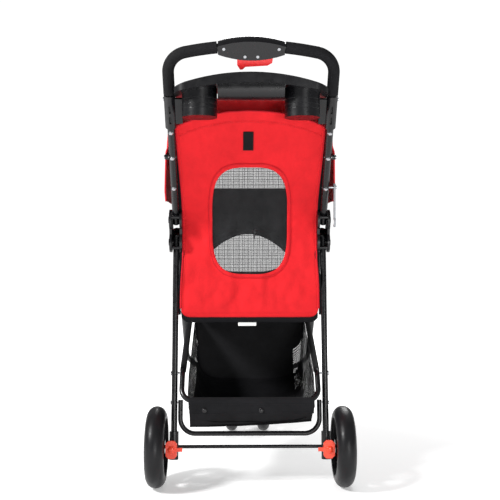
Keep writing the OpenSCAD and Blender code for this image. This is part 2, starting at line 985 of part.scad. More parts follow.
// A spoked rim about X with its hub; face 1 puts the hollow side at +X
module rim(x, y, z, seat, hub_w, spokes) color(satin_black)
    translate([x, y, z])
        rotate([0, 90, 0])
            difference() {
                union() {
                    difference() {
                        cylinder(r = seat - fit, h = 30, center = true);
                        cylinder(r = seat - 7, h = 40, center = true);
                    }
                    cylinder(r = 15, h = hub_w, center = true);
                    for (i = [0:spokes - 1])
                        rotate(i * 360 / spokes)
                            translate([10, -6, -8])
                                cube([seat - 14, 12, 16]);
                }
                cylinder(r = pin_r + fit, h = 60, center = true);
            }

rear_seat = 64;
front_seat = 54;

module rear_tyre_left()
    tyre(-rear_wheel_x, rear_axle_y, rear_axle_z, rear_wheel_d, rear_wheel_w, rear_seat);
module rear_tyre_right()
    tyre(rear_wheel_x, rear_axle_y, rear_axle_z, rear_wheel_d, rear_wheel_w, rear_seat);
module rear_rim_left() rim(-rear_wheel_x, rear_axle_y, rear_axle_z, rear_seat, 38, 5);
module rear_rim_right() rim(rear_wheel_x, rear_axle_y, rear_axle_z, rear_seat, 38, 5);

module caster_body() color(satin_black) difference() {
    union() {
        side_plate(-20, 20) {
            translate([front_axle_y, front_axle_z])
                circle(19);
            polygon([
                [front_axle_y - 19, front_axle_z],
                [swivel_y - 24, 152],
                [swivel_y + 22, 152],
                [swivel_y + 22, 126],
                [front_axle_y + 16, front_axle_z - 10],
            ]);
        }
        translate([0, swivel_y, 150])
            cylinder(r = 18, h = hub_low - 150.5);
        translate([0, swivel_y, 150])
            cylinder(r = stem_r, h = hub_low + hub_h - 150 + 2);
    }
    translate([0, front_axle_y, front_axle_z])
        x_rod(pin_r + fit, 60);
}

module front_axle() color(silver)
    translate([0, front_axle_y, front_axle_z])
        x_rod(pin_r, 2 * (front_wheel_x + 17));

module front_tyre_left()
    tyre(-front_wheel_x, front_axle_y, front_axle_z, front_wheel_d, front_wheel_w, front_seat);
module front_tyre_right()
    tyre(front_wheel_x, front_axle_y, front_axle_z, front_wheel_d, front_wheel_w, front_seat);
module front_rim_left() rim(-front_wheel_x, front_axle_y, front_axle_z, front_seat, 33, 5);
module front_rim_right() rim(front_wheel_x, front_axle_y, front_axle_z, front_seat, 33, 5);

front_tube();
front_hub();
bracket_left();
bracket_right();
pivot_pins();
cabin_tub();
floor_board();
floor_pad();
side_panel_left();
side_panel_right();
front_panel();
rear_panel();
rear_window();
panel_patch();
blank_label();
basket_bar();
basket_bolts();
basket();
handle_tube();
foam_grip_left();
foam_grip_right();
housing_rear();
housing_front();
housing_screws();
fold_trigger();
parent_tray();
tray_bracket_left();
tray_bracket_right();
tray_screws();
frame_rivets();
canopy();
bow_pins();
hood_bow();
storage_hook();
rear_leg_left();
rear_leg_right();
rear_socket_left();
rear_socket_right();
rear_brace();
brace_rivets();
rear_axle();
basket_stubs();
brake_pedal_left();
brake_pedal_right();
brake_pins();
rear_tyre_left();
rear_tyre_right();
rear_rim_left();
rear_rim_right();
caster_body();
front_axle();
front_tyre_left();
front_tyre_right();
front_rim_left();
front_rim_right();
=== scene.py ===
"""Looks of the three-wheel pet stroller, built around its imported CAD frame. Metres, +Z up, +Y forward."""
import json
import math

import bpy
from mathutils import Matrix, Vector, noise


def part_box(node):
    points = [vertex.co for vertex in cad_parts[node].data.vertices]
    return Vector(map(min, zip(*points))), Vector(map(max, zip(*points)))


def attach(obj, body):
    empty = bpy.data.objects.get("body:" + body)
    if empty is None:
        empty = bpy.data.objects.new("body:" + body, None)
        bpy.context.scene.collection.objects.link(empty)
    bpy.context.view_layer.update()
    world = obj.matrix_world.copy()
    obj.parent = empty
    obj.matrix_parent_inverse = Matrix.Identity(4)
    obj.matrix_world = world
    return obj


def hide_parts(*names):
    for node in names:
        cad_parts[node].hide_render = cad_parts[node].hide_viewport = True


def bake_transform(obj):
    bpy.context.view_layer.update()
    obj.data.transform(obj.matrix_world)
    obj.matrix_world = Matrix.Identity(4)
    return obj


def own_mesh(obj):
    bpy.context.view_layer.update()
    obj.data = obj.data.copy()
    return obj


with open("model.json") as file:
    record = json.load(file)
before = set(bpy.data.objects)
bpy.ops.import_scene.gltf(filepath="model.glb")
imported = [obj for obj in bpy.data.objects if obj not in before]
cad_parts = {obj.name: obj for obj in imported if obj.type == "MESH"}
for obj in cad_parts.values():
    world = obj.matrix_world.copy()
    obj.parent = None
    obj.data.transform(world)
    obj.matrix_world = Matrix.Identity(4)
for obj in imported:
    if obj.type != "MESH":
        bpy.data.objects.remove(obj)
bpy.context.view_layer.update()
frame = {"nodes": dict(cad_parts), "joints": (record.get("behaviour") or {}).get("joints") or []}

MM = 0.001
JOINTS = {j["name"]: j for j in frame["joints"]}
HANDLE_PIVOT = Vector(JOINTS["handle_fold"]["pos_m"])
UP_HANDLE = Vector(JOINTS["trigger_squeeze"]["axis"]).normalized()
HANDLE_BACK = Vector((0, -UP_HANDLE.z, UP_HANDLE.y))   # out of the handle's plane, towards the walker
AXLE_Y = sum(c.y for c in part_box("rear_axle")) / 2
TUBE_X = sum(c.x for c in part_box("rear_leg_right")) / 2
PANEL_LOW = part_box("rear_panel")[0]
WINDOW_LOW, WINDOW_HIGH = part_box("rear_window")
TUB_LOW, TUB_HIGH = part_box("cabin_tub")
BAR_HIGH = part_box("basket_bar")[1]
HOOD_LOW, HOOD_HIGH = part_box("canopy")
FRONT_LOW, FRONT_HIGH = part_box("front_panel")
PAD_LOW, PAD_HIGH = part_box("floor_pad")

# ------------------------------------------------------------------ camera

CAMERA_BACK = 1.85       # behind the rear axle
CAMERA_HEIGHT = 0.557
CAMERA_SIDE = -0.026
CAMERA_YAW = -0.8        # degrees
CAMERA_LENS = 58.9
CAMERA_SHIFT_Y = -0.02


def make_camera():
    data = bpy.data.cameras.new("camera")
    camera = bpy.data.objects.new("camera", data)
    bpy.context.scene.collection.objects.link(camera)
    camera.location = (CAMERA_SIDE, AXLE_Y - CAMERA_BACK, CAMERA_HEIGHT)
    camera.rotation_euler = (math.radians(90), 0, math.radians(CAMERA_YAW))
    data.lens = CAMERA_LENS
    data.sensor_width = 36
    data.shift_y = CAMERA_SHIFT_Y
    bpy.context.scene.camera = camera


make_camera()

# ------------------------------------------------------------------ materials


class Shader:
    """A Principled material and the few node chains that the finishes below share."""

    def __init__(self, name, color, rough, metallic=0.0):
        self.mat = bpy.data.materials.new(name)
        self.mat.use_nodes = True
        self.tree = self.mat.node_tree
        self.bsdf = next(n for n in self.tree.nodes if n.type == "BSDF_PRINCIPLED")
        self.color = color
        self.put("Base Color", (*color, 1))
        self.put("Roughness", rough)
        self.put("Metallic", metallic)
        self.coords = self.node("ShaderNodeTexCoord").outputs["Object"]
        self.height = None

    def put(self, socket, value):
        self.bsdf.inputs[socket].default_value = value

    def node(self, kind, **settings):
        made = self.tree.nodes.new(kind)
        for key, value in settings.items():
            setattr(made, key, value)
        return made

    def link(self, a, b):
        self.tree.links.new(a, b)

    def math(self, operation, a, b):
        made = self.node("ShaderNodeMath", operation=operation)
        for socket, value in zip(made.inputs, (a, b)):
            if isinstance(value, (int, float)):
                socket.default_value = value
            else:
                self.link(value, socket)
        return made.outputs[0]

    def noise(self, scale, detail=3.0, rough=0.55):
        made = self.node("ShaderNodeTexNoise")
        made.inputs["Scale"].default_value = scale
        made.inputs["Detail"].default_value = detail
        made.inputs["Roughness"].default_value = rough
        self.link(self.coords, made.inputs["Vector"])
        return made.outputs["Fac"]

    def wave(self, axis, pitch, vector=None):
        """Stripes across one axis, one light and one dark in each pitch."""
        made = self.node("ShaderNodeTexWave", wave_type="BANDS", bands_direction=axis)
        made.inputs["Scale"].default_value = math.pi / 10 / pitch
        self.link(vector or self.coords, made.inputs["Vector"])
        return made.outputs["Fac"]

    def ramp(self, fac, stops):
        made = self.node("ShaderNodeValToRGB")
        made.color_ramp.elements[0].position, made.color_ramp.elements[0].color = stops[0]
        made.color_ramp.elements[1].position, made.color_ramp.elements[1].color = stops[-1]
        for position, color in stops[1:-1]:
            made.color_ramp.elements.new(position).color = color
        self.link(fac, made.inputs["Fac"])
        return made.outputs["Color"]

    def vary_color(self, fac, dark, light):
        """Base colour between two strengths of the material's own colour."""
        stops = [(p, (*(c * k for c in self.color), 1)) for p, k in ((0.3, dark), (0.7, light))]
        self.link(self.ramp(fac, stops), self.bsdf.inputs["Base Color"])

    def vary_rough(self, fac, low, high):
        stops = [(p, (v, v, v, 1)) for p, v in ((0.3, low), (0.7, high))]
        self.link(self.ramp(fac, stops), self.bsdf.inputs["Roughness"])

    def bump(self, fac, strength, distance):
        made = self.node("ShaderNodeBump")
        made.inputs["Strength"].default_value = strength
        made.inputs["Distance"].default_value = distance
        self.link(fac, made.inputs["Height"])
        if self.height:
            self.link(self.height, made.inputs["Normal"])
        self.height = made.outputs["Normal"]
        self.link(self.height, self.bsdf.inputs["Normal"])


def weave(shader, pitch, strength):
    """Over-and-under threads in three directions, so the weave needs no UVs."""
    threads = shader.math("ADD", shader.wave("X", pitch), shader.wave("Z", pitch))
    threads = shader.math("ADD", threads, shader.wave("Y", pitch))
    shader.bump(threads, strength, 0.0003)
    return threads


def fabric(name, color, pitch=1.1 * MM, rough=0.85, sheen=0.06, dark=0.84, light=1.12):
    shader = Shader(name, color, rough)
    shader.vary_color(shader.noise(9, 9, 0.75), dark, light)
    weave(shader, pitch, 0.22)
    shader.bump(shader.noise(46, 5, 0.6), 0.3, 0.0014)
    shader.bump(shader.noise(13, 3, 0.5), 0.35, 0.004)
    shader.put("Specular IOR Level", 0.14)
    shader.put("Sheen Weight", sheen)
    shader.put("Sheen Roughness", 0.45)
    return shader.mat


def mesh_cloth(name, color, pitch, cover, axes="XZ", rough=0.6):
    """Knitted mesh: threads along two directions with open holes between them."""
    shader = Shader(name, color, rough)
    shader.vary_color(shader.noise(30, 3), 0.8, 1.25)
    first, second = (shader.math("GREATER_THAN", shader.wave(axis, pitch), 1 - cover) for axis in axes)
    alpha = shader.math("MAXIMUM", first, second)
    shader.link(alpha, shader.bsdf.inputs["Alpha"])
    shader.bump(alpha, 0.3, 0.0003)
    shader.put("Specular IOR Level", 0.2)
    return shader.mat


def powder_coat(name, color):
    shader = Shader(name, color, 0.28)
    shader.vary_rough(shader.noise(140, 3), 0.22, 0.36)
    shader.bump(shader.noise(300, 2), 0.02, 0.0002)
    shader.put("Specular IOR Level", 0.35)
    shader.put("Coat Weight", 0.1)
    shader.put("Coat Roughness", 0.12)
    return shader.mat


def moulded(name, color, rough, grain, coat=0.0):
    shader = Shader(name, color, rough)
    shader.vary_color(shader.noise(18, 3), 0.9, 1.12)
    shader.vary_rough(shader.noise(60, 4), rough - 0.06, rough + 0.08)
    shader.bump(shader.noise(700, 2), grain, 0.0002)
    shader.put("Specular IOR Level", 0.4)
    shader.put("Coat Weight", coat)
    shader.put("Coat Roughness", 0.15)
    return shader.mat


def foam_rubber(name, color):
    shader = Shader(name, color, 0.82)
    cells = shader.node("ShaderNodeTexVoronoi")
    cells.inputs["Scale"].default_value = 900
    shader.link(shader.coords, cells.inputs["Vector"])
    shader.vary_color(shader.noise(300, 4), 0.7, 1.35)
    shader.bump(cells.outputs["Distance"], 0.35, 0.0004)
    shader.put("Specular IOR Level", 0.14)
    return shader.mat


def tyre_rubber(name, color):
    shader = Shader(name, color, 0.36)
    shader.vary_color(shader.noise(25, 4), 0.85, 1.4)
    shader.vary_rough(shader.noise(45, 5, 0.65), 0.27, 0.5)
    shader.bump(shader.noise(400, 3), 0.08, 0.0003)
    shader.put("Specular IOR Level", 0.22)
    return shader.mat


def plated(name, color):
    shader = Shader(name, color, 0.24, 1.0)
    shader.vary_rough(shader.noise(220, 3), 0.16, 0.36)
    shader.bump(shader.noise(1200, 2), 0.05, 0.0001)
    return shader.mat


RED_CLOTH = fabric("red_cloth", (0.62, 0.014, 0.019))
RED_TRIM = fabric("red_trim", (0.52, 0.010, 0.018), pitch=0.8 * MM, dark=0.8)
RED_THREAD = fabric("red_thread", (0.60, 0.016, 0.024), pitch=0.3 * MM, sheen=0.1)
BLACK_CLOTH = fabric("black_cloth", (0.006, 0.006, 0.007), dark=0.7, light=1.4, sheen=0.03)
BLACK_BINDING = fabric("black_binding", (0.004, 0.004, 0.005), pitch=0.9 * MM, sheen=0.02)
BLACK_THREAD = fabric("black_thread", (0.016, 0.016, 0.018), pitch=0.3 * MM, sheen=0.03)
BASKET_BAND = fabric("basket_band", (0.007, 0.007, 0.008), pitch=1.3 * MM, dark=0.6, light=1.6, sheen=0.04)
BASKET_CLOTH = fabric("basket_cloth", (0.006, 0.006, 0.007), pitch=1.3 * MM, rough=0.6,
                      dark=0.6, light=1.8, sheen=0.02)
WINDOW_MESH = mesh_cloth("window_mesh", (0.035, 0.036, 0.038), 2.1 * MM, 0.13)
FRONT_MESH = mesh_cloth("front_mesh", (0.05, 0.052, 0.055), 4.2 * MM, 0.16)
SIDE_MESH = mesh_cloth("side_mesh", (0.02, 0.02, 0.022), 1.8 * MM, 0.5, "YZ")
BASKET_NET = mesh_cloth("basket_net", (0.012, 0.012, 0.013), 1.3 * MM, 0.66, "YZ", 0.35)
PAD_CLOTH = fabric("pad_cloth", (0.03, 0.031, 0.034), pitch=1.6 * MM, sheen=0.25)
TAPE = fabric("hook_tape", (0.008, 0.008, 0.009), pitch=0.7 * MM, rough=0.95, sheen=0.05)
LABEL_CLOTH = fabric("label_cloth", (0.82, 0.82, 0.80), pitch=0.5 * MM, sheen=0.1)
TUBE_COAT = powder_coat("tube_coat", (0.004, 0.004, 0.005))
BLACK_MOULDING = moulded("black_moulding", (0.004, 0.004, 0.005), 0.3, 0.04)
GLOSS_MOULDING = moulded("gloss_moulding", (0.003, 0.003, 0.004), 0.24, 0.01, 0.1)
RED_MOULDING = moulded("red_moulding", (0.74, 0.022, 0.024), 0.32, 0.04, 0.3)
PEDAL_MOULDING = moulded("pedal_moulding", (0.86, 0.055, 0.018), 0.3, 0.04, 0.3)
GREY_MOULDING = moulded("grey_moulding", (0.30, 0.31, 0.33), 0.42, 0.1)
BOARD = moulded("board", (0.12, 0.115, 0.11), 0.7, 0.2)
FOAM = foam_rubber("foam", (0.008, 0.008, 0.009))
RUBBER = tyre_rubber("tyre_rubber", (0.008, 0.008, 0.009))
ZINC = plated("zinc", (0.42, 0.43, 0.45))

NODE_LOOKS = {
    TUBE_COAT: ["front_tube", "handle_tube", "rear_leg_left", "rear_leg_right", "rear_brace",
                "basket_bar", "hood_bow", "rear_axle"],
    BLACK_MOULDING: ["front_hub", "bracket_left", "bracket_right", "pivot_pins", "parent_tray",
                     "tray_bracket_left", "tray_bracket_right", "rear_socket_left",
                     "rear_socket_right", "rear_rim_left", "rear_rim_right", "front_rim_left",
                     "front_rim_right", "caster_body"],
    GLOSS_MOULDING: ["housing_rear", "housing_front"],
    RED_MOULDING: ["fold_trigger"],
    PEDAL_MOULDING: ["brake_pedal_left", "brake_pedal_right"],
    GREY_MOULDING: ["storage_hook"],
    BOARD: ["floor_board"],
    FOAM: ["foam_grip_left", "foam_grip_right"],
    RUBBER: ["rear_tyre_left", "rear_tyre_right", "front_tyre_left", "front_tyre_right"],
    ZINC: ["basket_bolts", "housing_screws", "tray_screws", "frame_rivets", "bow_pins",
           "brace_rivets", "basket_stubs", "brake_pins", "front_axle"],
}


def dress_cad_nodes():
    for material, nodes in NODE_LOOKS.items():
        for name in nodes:
            data = frame["nodes"][name].data
            data.materials.clear()
            data.materials.append(material)


# ------------------------------------------------------------------ mesh helpers


def new_piece(name, vertices, faces, materials, smooth=True):
    data = bpy.data.meshes.new(name)
    data.from_pydata([tuple(v) for v in vertices], [], faces)
    data.update()
    piece = bpy.data.objects.new(name, data)
    bpy.context.scene.collection.objects.link(piece)
    for material in materials if isinstance(materials, (list, tuple)) else [materials]:
        data.materials.append(material)
    if smooth:
        data.polygons.foreach_set("use_smooth", [True] * len(data.polygons))
    return piece


def smoothstep(a, b, x):
    t = min(1.0, max(0.0, (x - a) / (b - a)))
    return t * t * (3 - 2 * t)


def sway(x, y, z, scale, seed=0.0):
    """Smooth noise from -1 to 1 that gives the same cloth each run."""
    return noise.noise(Vector((x / scale + seed, y / scale - seed, z / scale + 2 * seed)))


def grid_piece(name, surface, across, along, thick, materials, keep=None, pick=None, soften=1):
    """A sheet of cloth: surface(u, v) gives each point, keep(u, v) which cells stay,
    pick(u, v) which material a cell has."""
    points = [surface(i / across, j / along) for j in range(along + 1) for i in range(across + 1)]
    faces, slots = [], []
    for j in range(along):
        for i in range(across):
            u, v = (i + 0.5) / across, (j + 0.5) / along
            if keep and not keep(u, v):
                continue
            a = j * (across + 1) + i
            faces.append((a, a + 1, a + across + 2, a + across + 1))
            slots.append(pick(u, v) if pick else 0)
    used = sorted({k for f in faces for k in f})
    at = {k: n for n, k in enumerate(used)}
    piece = new_piece(name, [points[k] for k in used], [[at[k] for k in f] for f in faces], materials)
    piece.data.polygons.foreach_set("material_index", slots)
    if thick:
        solid = piece.modifiers.new("thickness", "SOLIDIFY")
        solid.thickness = thick
        solid.offset = 0
    if soften:
        rounder = piece.modifiers.new("soften", "SUBSURF")
        rounder.levels = rounder.render_levels = soften
    return piece


def tube_rings(points, radius, sides, closed, flat):
    rings, normal = [], None
    count = len(points)
    for i, p in enumerate(points):
        ahead = points[(i + 1) % count] if closed or i + 1 < count else p
        behind = points[i - 1] if closed or i else p
        tangent = (ahead - behind).normalized()
        if normal is None:
            normal = tangent.orthogonal().normalized()
        normal = (normal - tangent * normal.dot(tangent)).normalized()
        side = tangent.cross(normal)
        rings.append([p + normal * (radius * math.cos(2 * math.pi * k / sides))
                      + side * (radius * flat * math.sin(2 * math.pi * k / sides))
                      for k in range(sides)])
    return rings


def tube_mesh(paths, radius, sides=8, closed=False, flat=1.0):
    """Vertices and faces of round cords along some paths."""
    vertices, faces = [], []
    for points in paths:
        rings = tube_rings(points, radius, sides, closed, flat)
        base, count = len(vertices), len(rings)
        for ring in rings:
            vertices.extend(ring)
        for i in range(count if closed else count - 1):
            a, b = base + i * sides, base + (i + 1) % count * sides
            for k in range(sides):
                n = (k + 1) % sides
                faces.append((a + k, a + n, b + n, b + k))
        if not closed:
            faces.append(tuple(base + k for k in reversed(range(sides))))
            faces.append(tuple(base + (count - 1) * sides + k for k in range(sides)))
    return vertices, faces


def piping(name, points, radius, material, closed=False, sides=8):
    return new_piece(name, *tube_mesh([points], radius, sides, closed), material)


def walk(points, closed=False):
    """Points of a path with the length run so far."""
    run, found = 0.0, [(0.0, points[0])]
    path = points + points[:1] if closed else points
    for a, b in zip(path, path[1:]):
        run += (b - a).length
        found.append((run, b))
    return found


def along_path(found, distance):
    for (a, p), (b, q) in zip(found, found[1:]):
        if b >= distance:
            return p.lerp(q, (distance - a) / max(b - a, 1e-9))
    return found[-1][1]


def stitching(name, paths, material, pitch=4.2 * MM, dash=2.6 * MM, radius=0.42 * MM, closed=False):
    """A row of short threads along each path."""
    dashes = []
    for points in paths:
        found = walk(points, closed)
        for n in range(int(found[-1][0] / pitch)):
            start = n * pitch
            dashes.append([along_path(found, start + dash * k / 2) for k in range(3)])
    return new_piece(name, *tube_mesh(dashes, radius, 5), material)


def dome(name, middle, out, radius, height, material):
    """A domed button with a rolled rim."""
    out = out.normalized()
    side = out.orthogonal().normalized()
    other = out.cross(side)
    profile = [(0.0, 1.0), (0.35, 0.95), (0.62, 0.78), (0.8, 0.5), (0.86, 0.28), (0.95, 0.3),
               (1.0, 0.16), (0.98, 0.0), (0.9, -0.1)]
    vertices, faces, count = [middle + out * height], [], 28
    for r, h in profile[1:]:
        for n in range(count):
            a = 2 * math.pi * n / count
            vertices.append(middle + (side * math.cos(a) + other * math.sin(a)) * (radius * r) + out * (height * h))
    for n in range(count):
        faces.append((0, 1 + n, 1 + (n + 1) % count))
    for r in range(len(profile) - 2):
        for n in range(count):
            m = (n + 1) % count
            faces.append((1 + r * count + n, 1 + (r + 1) * count + n, 1 + (r + 1) * count + m, 1 + r * count + m))
    faces.append(tuple(1 + (len(profile) - 2) * count + n for n in range(count)))
    return new_piece(name, vertices, faces, material)


# ------------------------------------------------------------------ places

LEAN = math.atan2(-UP_HANDLE.y, UP_HANDLE.z)
PIVOT_Y = (HANDLE_PIVOT.y - AXLE_Y) / MM
PIVOT_Z = HANDLE_PIVOT.z / MM
FOOT_Y = (TUB_LOW.y - AXLE_Y) / MM - 7
PANEL_FOOT_Z = PANEL_LOW.z / MM
WINDOW_Z = (WINDOW_LOW.z + WINDOW_HIGH.z) / 2 / MM
WINDOW_W = WINDOW_HIGH.x / MM
WINDOW_H = (WINDOW_HIGH.z - WINDOW_LOW.z) / 2 / MM
RING_POINTS = 288         # round the window and the rear panel's outline
PANEL_CORNER_Z = 804      # the rear panel's top corners


def at(x, y, z):
    """A point from millimetres, with y counted from the rear axle."""
    return Vector((x * MM, AXLE_Y + y * MM, z * MM))


def handle_y(z):
    return PIVOT_Y - (z - PIVOT_Z) * math.tan(LEAN)


def even(points, count, closed=False):
    """The same path with its points evenly spaced."""
    found = walk(points, closed)
    steps = count if closed else count - 1
    return [along_path(found, found[-1][0] * n / steps) for n in range(count)]


def crossing(piece):
    """Cloth that reaches from the frame below the pivots to the handle above them; its placement is baked into its
    points, and it is held by neither.
    """
    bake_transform(piece)


def with_cap(mesh):
    """Close the small hole at the middle of a sheet made of rings."""
    capped = bpy.data.meshes.new(mesh.name + "_whole")
    faces = [tuple(p.vertices) for p in mesh.polygons] + [tuple(range(RING_POINTS))]
    capped.from_pydata([v.co for v in mesh.vertices], [], faces)
    capped.materials.append(mesh.materials[0])
    return capped


def ring_piece(name, inner, outer, place, rows, materials, thick, pick=None, soften=1):
    """A sheet with a hole: rows of points between two closed loops of (x, z)."""
    count, vertices, faces, slots = len(inner), [], [], []
    for row in rows:
        for (xa, za), (xb, zb) in zip(inner, outer):
            vertices.append(place(xa + (xb - xa) * row, za + (zb - za) * row))
    for r in range(len(rows) - 1):
        for n in range(count):
            m = (n + 1) % count
            faces.append((r * count + n, r * count + m, (r + 1) * count + m, (r + 1) * count + n))
            slots.append(pick(rows[r]) if pick else 0)
    piece = new_piece(name, vertices, faces, materials)
    piece.data.polygons.foreach_set("material_index", slots)
    if thick:
        solid = piece.modifiers.new("thickness", "SOLIDIFY")
        solid.thickness = thick
        solid.offset = 0
    if soften:
        rounder = piece.modifiers.new("soften", "SUBSURF")
        rounder.levels = rounder.render_levels = soften
    return piece


# ------------------------------------------------------------------ rear panel


def panel_half(z):
    low = 160 - 4 * smoothstep(430, 520, z)
    return low + 6.5 * smoothstep(640, 803, z)


def panel_top(x):
    return PANEL_CORNER_Z + 31 * (1 - min(1.0, abs(x) / 161) ** 2.2)


def panel_low(x):
    past = max(0.0, abs(x) - 138)
    return PANEL_FOOT_Z + 22 - math.sqrt(max(0.0, 22 ** 2 - past ** 2))


def panel_y(z):
    rise = FOOT_Y + 1 + max(0.0, z - 462) * (PIVOT_Y + 10 - FOOT_Y - 1) / (PIVOT_Z - 462)
    back = handle_y(z) + 10
    k = 9.0
    return -k * math.log(math.exp(-rise / k) + math.exp(-back / k))


def panel_point(x, z, proud=0.0):
    """The rear panel's cloth: drawn tight at its sides, slack and creased between them."""
    side = min(1.0, abs(x) / panel_half(z))
    slack = (1 - side ** 4) * smoothstep(PANEL_FOOT_Z, PANEL_FOOT_Z + 40, z)
    folds = 5.5 * sway(x, z * 0.45, 0, 46, 3.0) + 2.8 * sway(x, z * 0.8, 0, 19, 8.0)
    pull = 2.2 * math.sin(0.075 * (z + 0.55 * abs(x))) * smoothstep(90, 150, abs(x)) * smoothstep(640, 560, z)
    draw = 1.6 * math.sin(x * 0.16 + 0.6 * math.sin(x * 0.05)) * smoothstep(panel_top(x) - 60, panel_top(x), z)
    return at(x, panel_y(z) + slack * (5 * smoothstep(620, 760, z) + folds) + pull + draw * 0.6 - proud, z)


def panel_edge(angle):
    """Where a ray from the window's middle leaves the panel's outline."""
    dx, dz = math.cos(angle), math.sin(angle)
    inside, outside = 0.0, 400.0
    for _ in range(40):
        t = (inside + outside) / 2
        x, z = dx * t, WINDOW_Z + dz * t
        if abs(x) <= panel_half(z) and panel_low(x) <= z <= panel_top(x):
            inside = t
        else:
            outside = t
    return dx * inside, WINDOW_Z + dz * inside


def panel_angles(count=RING_POINTS):
    """Ray angles, with one on each top corner."""
    corner = math.atan2(PANEL_CORNER_Z - WINDOW_Z, 160.4)
    angles = [2 * math.pi * n / count for n in range(count)]
    for target in (corner, math.pi - corner):
        near = min(range(count), key=lambda n: abs(angles[n] - target))
        angles[near] = target
    return angles


def window_loop(grow, count=RING_POINTS):
    loop = []
    for angle in panel_angles(count):
        c, s = math.cos(angle), math.sin(angle)
        scale = (abs(c / (WINDOW_W + 3.5 + grow)) ** 3.4 + abs(s / (WINDOW_H + 1.5 + grow)) ** 3.4) ** (-1 / 3.4)
        loop.append((c * scale, WINDOW_Z + s * scale))
    return loop


def make_rear_panel():
    outer = [panel_edge(a) for a in panel_angles()]
    rows = [0, 0.02, 0.06] + [0.06 + 0.9 * n / 26 for n in range(1, 27)] + [0.98, 1.0]
    panel = ring_piece("rear_panel_cloth", window_loop(0), outer, panel_point, rows, [RED_CLOTH], 1.4 * MM)
    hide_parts("rear_panel")
    crossing(panel)

    rows = [0, 0.12, 0.32, 0.5, 0.68, 0.88, 1.0]
    binding = ring_piece("window_binding", window_loop(-0.8), window_loop(6.2), lambda x, z: panel_point(x, z, 1.7),
                         rows, [RED_CLOTH], 1.5 * MM)
    for n, vertex in enumerate(binding.data.vertices):
        vertex.co.y -= 0.9 * MM * math.sin(math.pi * rows[n // RING_POINTS])
    crossing(binding)
    for name, grow in (("binding_stitch_inner", 1.2), ("binding_stitch_outer", 4.6)):
        loop = [panel_point(x, z, 3.3) for x, z in window_loop(grow)]
        crossing_stitch(stitching(name, [loop], RED_THREAD, closed=True))
    cord = piping("window_cord", [panel_point(x, z, 1.6) for x, z in window_loop(7.2)], 1.3 * MM, RED_TRIM, True)
    crossing(cord)

    mesh = ring_piece("window_mesh", [(x * 0.03, WINDOW_Z + (z - WINDOW_Z) * 0.03) for x, z in window_loop(2)],
                      window_loop(2), lambda x, z: panel_point(x, z, -1.2), [n / 18 for n in range(19)],
                      [WINDOW_MESH], 0)
    mesh.data = with_cap(mesh.data)
    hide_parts("rear_window")
    crossing(mesh)

    edges = []
    for s in (-1, 1):
        edges.append([panel_point(s * panel_half(z), z, 1.0)
                      for z in [PANEL_FOOT_Z + 22 + (806 - PANEL_FOOT_Z - 22) * n / 90 for n in range(91)]])
    edge_piping = new_piece("panel_edge_piping", *tube_mesh(edges, 2.3 * MM, 8), RED_TRIM)
    crossing(edge_piping)
    heights = [PANEL_FOOT_Z + 8 + 236 * n / 60 for n in range(61)]
    outside = [[panel_point(s * (panel_half(z) + 3.2), z, -0.5) for z in heights] for s in (-1, 1)]
    side_binding = new_piece("panel_side_binding", *tube_mesh(outside, 3.0 * MM, 10), BLACK_BINDING)
    crossing(side_binding)
    top = [panel_point(x, panel_top(x) - 0.5, 0.5) for x in [-160 + 320 * n / 90 for n in range(91)]]
    top_piping = piping("panel_top_piping", top, 2.0 * MM, RED_TRIM)
    crossing(top_piping)

    seams = [[panel_point(x, panel_top(x) - drop, 1.3) for x in [-154 + 308 * n / 120 for n in range(121)]]
             for drop in (19, 22.5)]
    crossing_stitch(stitching("panel_top_stitch", seams, RED_THREAD))
    fold = [panel_point(x, panel_top(x) - 20.7, 0.75) for x in [-156 + 312 * n / 90 for n in range(91)]]
    ridge = new_piece("panel_top_seam", *tube_mesh([fold], 0.8 * MM, 6), RED_CLOTH)
    crossing(ridge)
    lower = [[panel_point(x, PANEL_FOOT_Z + 12, 1.2) for x in [-150 + 300 * n / 90 for n in range(91)]]]
    for s in (-1, 1):
        lower.append([panel_point(s * (panel_half(z) - 6), z, 1.2)
                      for z in [PANEL_FOOT_Z + 22 + (800 - PANEL_FOOT_Z - 22) * n / 90 for n in range(91)]])
    crossing_stitch(stitching("panel_edge_stitch", lower, RED_THREAD))

    def binding_point(u, v):
        x = -158 + 316 * u
        z = panel_low(x * 0.995) + 2 - 12 * v
        return at(x, FOOT_Y - 1.6 - 1.6 * math.sin(math.pi * v) + 0.5 * sway(x, z, 0, 30), z)
    foot = grid_piece("panel_foot_binding", binding_point, 120, 8, 1.6 * MM, [BLACK_BINDING])
    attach(foot, "front_frame")
    row = [binding_point(n / 120, 0.2) + Vector((0, -1.3 * MM, 0)) for n in range(121)]
    thread = stitching("foot_stitch", [row], BLACK_THREAD)
    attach(thread, "front_frame")


def crossing_stitch(thread):
    crossing(thread)


def make_patch():
    low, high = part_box("panel_patch")
    x0, x1, z0, z1 = low.x / MM, high.x / MM, low.z / MM, high.z / MM

    def point(u, v):
        x, z = x0 + (x1 - x0) * u, z0 + (z1 - z0) * v
        round_off = 1.2 * (abs(2 * u - 1) ** 6 + abs(2 * v - 1) ** 6)
        return panel_point(x, z, 3.0 - round_off)
    patch = grid_piece("hook_tape_patch", point, 20, 34, 1.2 * MM, [TAPE])
    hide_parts("panel_patch")
    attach(patch, "handle")
    border = [(0.1, 0.06), (0.9, 0.06), (0.9, 0.94), (0.1, 0.94)]
    corners = [point(u, v) + HANDLE_BACK * (1.0 * MM) for u, v in border]
    thread = stitching("patch_stitch", [corners], BLACK_THREAD, pitch=3 * MM, dash=1.9 * MM, closed=True)
    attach(thread, "handle")


